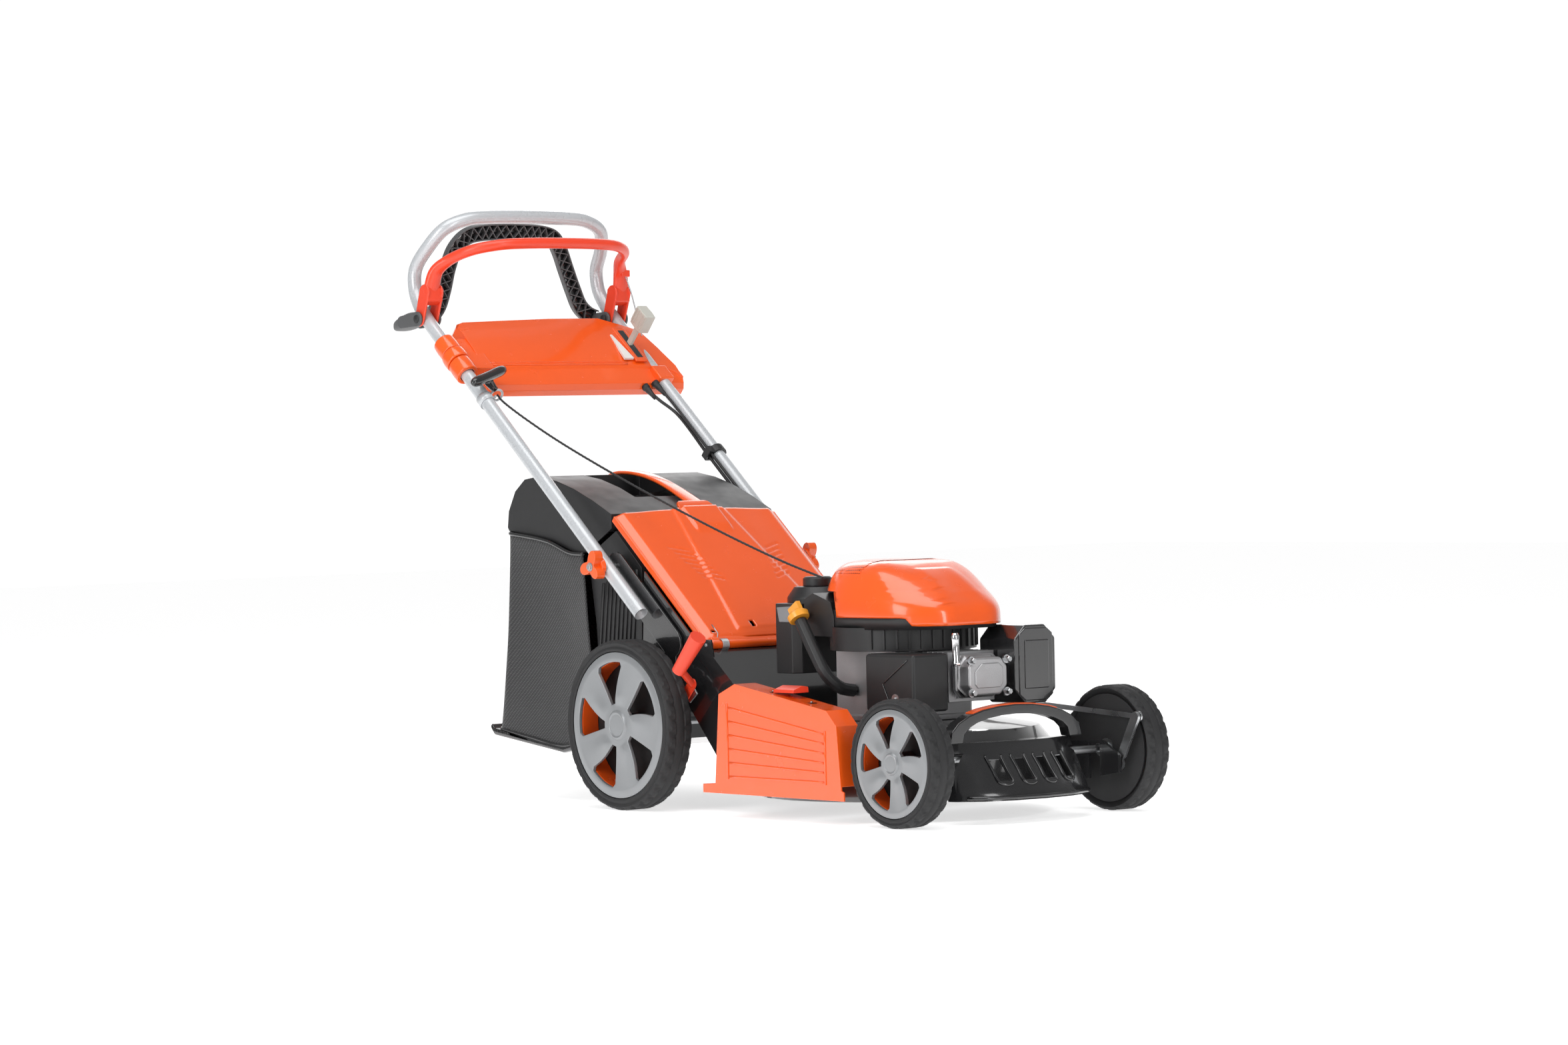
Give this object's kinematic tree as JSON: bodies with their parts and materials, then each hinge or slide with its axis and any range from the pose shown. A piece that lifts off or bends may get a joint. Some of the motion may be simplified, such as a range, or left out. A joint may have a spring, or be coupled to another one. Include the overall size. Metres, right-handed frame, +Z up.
{
  "type": "push lawn mower",
  "caption": "Self-propelled petrol lawn mower with steel deck, height-adjustable wheels, folding handlebar, control bails and a rear grass catcher.",
  "frame": {"origin": "centre of the bounding box on the ground", "axes": "+Z up, -Y towards the front of the mower, -X the operator's right-hand side"},
  "size_m": [0.534, 1.465, 1.0163],
  "materials": {
    "orange_plastic": "gloss",
    "red_orange_plastic": "satin",
    "silver_paint": "satin",
    "black_paint": "gloss",
    "black_plastic": "satin",
    "grey_plastic": "satin",
    "pale_plastic": "satin",
    "trim_silver": "satin",
    "tyre_rubber": "matte",
    "belt_rubber": "matte",
    "cast_aluminium": "satin",
    "steel": "satin",
    "bag_cloth": "matte",
    "yellow_plastic": "satin"
  },
  "bodies": {
    "chassis": {"deck_shell": "black_paint", "nose_bumper": "black_plastic", "carry_arch": "black_plastic", "handle_bracket_left": "black_paint", "handle_bracket_right": "black_paint", "flap_hinge_rod": "steel", "side_cover_rod": "steel", "height_quadrant": "steel", "engine_block": "cast_aluminium", "valve_cover": "cast_aluminium", "blower_housing": "black_plastic", "engine_cowl": "orange_plastic", "fuel_tank": "black_plastic", "oil_filler_tube": "black_plastic", "air_filter": "black_plastic", "muffler": "black_paint", "drive_belt": "belt_rubber"},
    "front_axle": {"front_axle": "steel"},
    "rear_axle": {"rear_axle": "steel", "height_lever": "red_orange_plastic", "drive_gearbox": "cast_aluminium"},
    "height_link": {"height_link_rod": "steel"},
    "rear_flap": {"rear_flap": "orange_plastic"},
    "side_cover": {"side_cover": "orange_plastic"},
    "cover_latch": {"side_cover_latch": "red_orange_plastic"},
    "cutter": {"blade": "steel", "crankshaft": "steel"},
    "fuel_cap": {"fuel_cap": "black_plastic"},
    "oil_cap": {"oil_cap": "yellow_plastic"},
    "handle": {"handlebar": "silver_paint", "console": "orange_plastic", "rope_guide": "steel", "cable_clip_upper": "black_plastic", "cable_clip_lower": "black_plastic", "starter_rope": "belt_rubber", "brake_cable": "belt_rubber", "drive_cable": "belt_rubber"},
    "brake_bail": {"brake_bail": "red_orange_plastic"},
    "drive_bail": {"drive_bail": "grey_plastic"},
    "speed_lever": {"speed_lever": "pale_plastic"},
    "knob_left": {"clamp_knob_left": "orange_plastic"},
    "knob_right": {"clamp_knob_right": "orange_plastic"},
    "starter_grip": {"starter_grip": "black_plastic"},
    "grass_bag": {"bag_frame": "black_plastic", "bag_fabric": "bag_cloth", "bag_tray": "black_plastic", "bag_lid": "black_plastic", "bag_handle": "orange_plastic"},
    "wheel_front_left": {"tyre_front_left": "tyre_rubber", "accent_ring_front_left": "orange_plastic", "wheel_trim_front_left": "trim_silver"},
    "wheel_front_right": {"tyre_front_right": "tyre_rubber", "accent_ring_front_right": "orange_plastic", "wheel_trim_front_right": "trim_silver"},
    "wheel_rear_left": {"tyre_rear_left": "tyre_rubber", "accent_ring_rear_left": "orange_plastic", "wheel_trim_rear_left": "trim_silver"},
    "wheel_rear_right": {"tyre_rear_right": "tyre_rubber", "accent_ring_rear_right": "orange_plastic", "wheel_trim_rear_right": "trim_silver"}
  },
  "joints": [
    {"name": "rear_axle_crank", "type": "hinge", "parent": "chassis", "child": "rear_axle", "pos_m": [0, 0.00012, 0.11747], "axis": [-1, 0, 0], "range_deg": [0, 56], "deforming": ["drive_belt", "drive_cable"]},
    {"name": "front_axle_crank", "type": "hinge", "parent": "chassis", "child": "front_axle", "pos_m": [0, -0.67488, 0.07747], "axis": [-1, 0, 0], "range_deg": [0, 56]},
    {"name": "height_link", "type": "hinge", "parent": "front_axle", "child": "height_link", "pos_m": [0.1947, -0.71488, 0.15247], "axis": [-1, 0, 0], "range_deg": [-56, 0]},
    {"name": "front_left_wheel_spin", "type": "hinge", "parent": "front_axle", "child": "wheel_front_left", "pos_m": [0.224, -0.6325, 0.1], "axis": [1, 0, 0], "continuous": true},
    {"name": "front_right_wheel_spin", "type": "hinge", "parent": "front_axle", "child": "wheel_front_right", "pos_m": [-0.224, -0.6325, 0.1], "axis": [1, 0, 0], "continuous": true},
    {"name": "rear_left_wheel_spin", "type": "hinge", "parent": "rear_axle", "child": "wheel_rear_left", "pos_m": [0.237, 0.0425, 0.14], "axis": [1, 0, 0], "continuous": true},
    {"name": "rear_right_wheel_spin", "type": "hinge", "parent": "rear_axle", "child": "wheel_rear_right", "pos_m": [-0.237, 0.0425, 0.14], "axis": [1, 0, 0], "continuous": true},
    {"name": "handle_fold", "type": "hinge", "parent": "chassis", "child": "handle", "pos_m": [0, 0.1375, 0.398], "axis": [1, 0, 0], "range_deg": [0, 115], "deforming": ["starter_rope", "brake_cable", "drive_cable"]},
    {"name": "brake_bail_squeeze", "type": "hinge", "parent": "handle", "child": "brake_bail", "pos_m": [0, 0.6405, 0.826], "axis": [1, 0, 0], "range_deg": [-20, 0], "stiffness_Nm_per_rad": 2, "springref_deg": 34.38},
    {"name": "drive_bail_squeeze", "type": "hinge", "parent": "handle", "child": "drive_bail", "pos_m": [0, 0.6405, 0.826], "axis": [1, 0, 0], "range_deg": [0, 12], "stiffness_Nm_per_rad": 2, "springref_deg": -34.38},
    {"name": "speed_lever_tilt", "type": "hinge", "parent": "handle", "child": "speed_lever", "pos_m": [0.1765, 0.57844, 0.76006], "axis": [1, 0, 0], "range_deg": [-8, 30]},
    {"name": "knob_left_turn", "type": "hinge", "parent": "handle", "child": "knob_left", "pos_m": [0.23, 0.1375, 0.398], "axis": [1, 0, 0], "continuous": true},
    {"name": "knob_right_turn", "type": "hinge", "parent": "handle", "child": "knob_right", "pos_m": [-0.23, 0.1375, 0.398], "axis": [1, 0, 0], "continuous": true},
    {"name": "starter_pull", "type": "slide", "parent": "handle", "child": "starter_grip", "axis": [0, 0, 1], "range_m": [0, 0.35], "stiffness_N_per_m": 15, "springref_m": -0.3},
    {"name": "rear_flap_lift", "type": "hinge", "parent": "chassis", "child": "rear_flap", "pos_m": [0, -0.0925, 0.27], "axis": [1, 0, 0], "range_deg": [0, 70], "stiffness_Nm_per_rad": 0.6, "springref_deg": -68.75},
    {"name": "side_cover_lift", "type": "hinge", "parent": "chassis", "child": "side_cover", "pos_m": [-0.208, -0.3775, 0.16], "axis": [0, 1, 0], "range_deg": [0, 65], "stiffness_Nm_per_rad": 0.3, "springref_deg": -68.75},
    {"name": "cover_latch_press", "type": "hinge", "parent": "side_cover", "child": "cover_latch", "pos_m": [-0.206, -0.3615, 0.206], "axis": [0, 1, 0], "range_deg": [0, 20], "stiffness_Nm_per_rad": 0.1, "springref_deg": -17.19},
    {"name": "blade_spin", "type": "hinge", "parent": "chassis", "child": "cutter", "pos_m": [0, -0.3775, 0.046], "axis": [0, 0, 1], "continuous": true},
    {"name": "fuel_cap_turn", "type": "hinge", "parent": "chassis", "child": "fuel_cap", "pos_m": [-0.035, -0.2075, 0.37], "axis": [0, 0, 1], "continuous": true},
    {"name": "oil_cap_turn", "type": "hinge", "parent": "chassis", "child": "oil_cap", "pos_m": [-0.128, -0.2745, 0.311], "axis": [0, 0.5593, 0.829], "continuous": true},
    {"name": "grass_bag_lift_off", "type": "slide", "parent": "chassis", "child": "grass_bag", "axis": [0, 1, 0], "range_m": [0, 0.35]}
  ],
  "couplings": [
    {"joint": "front_axle_crank", "follows": "rear_axle_crank", "ratio": 1},
    {"joint": "height_link", "follows": "rear_axle_crank", "ratio": -1}
  ]
}
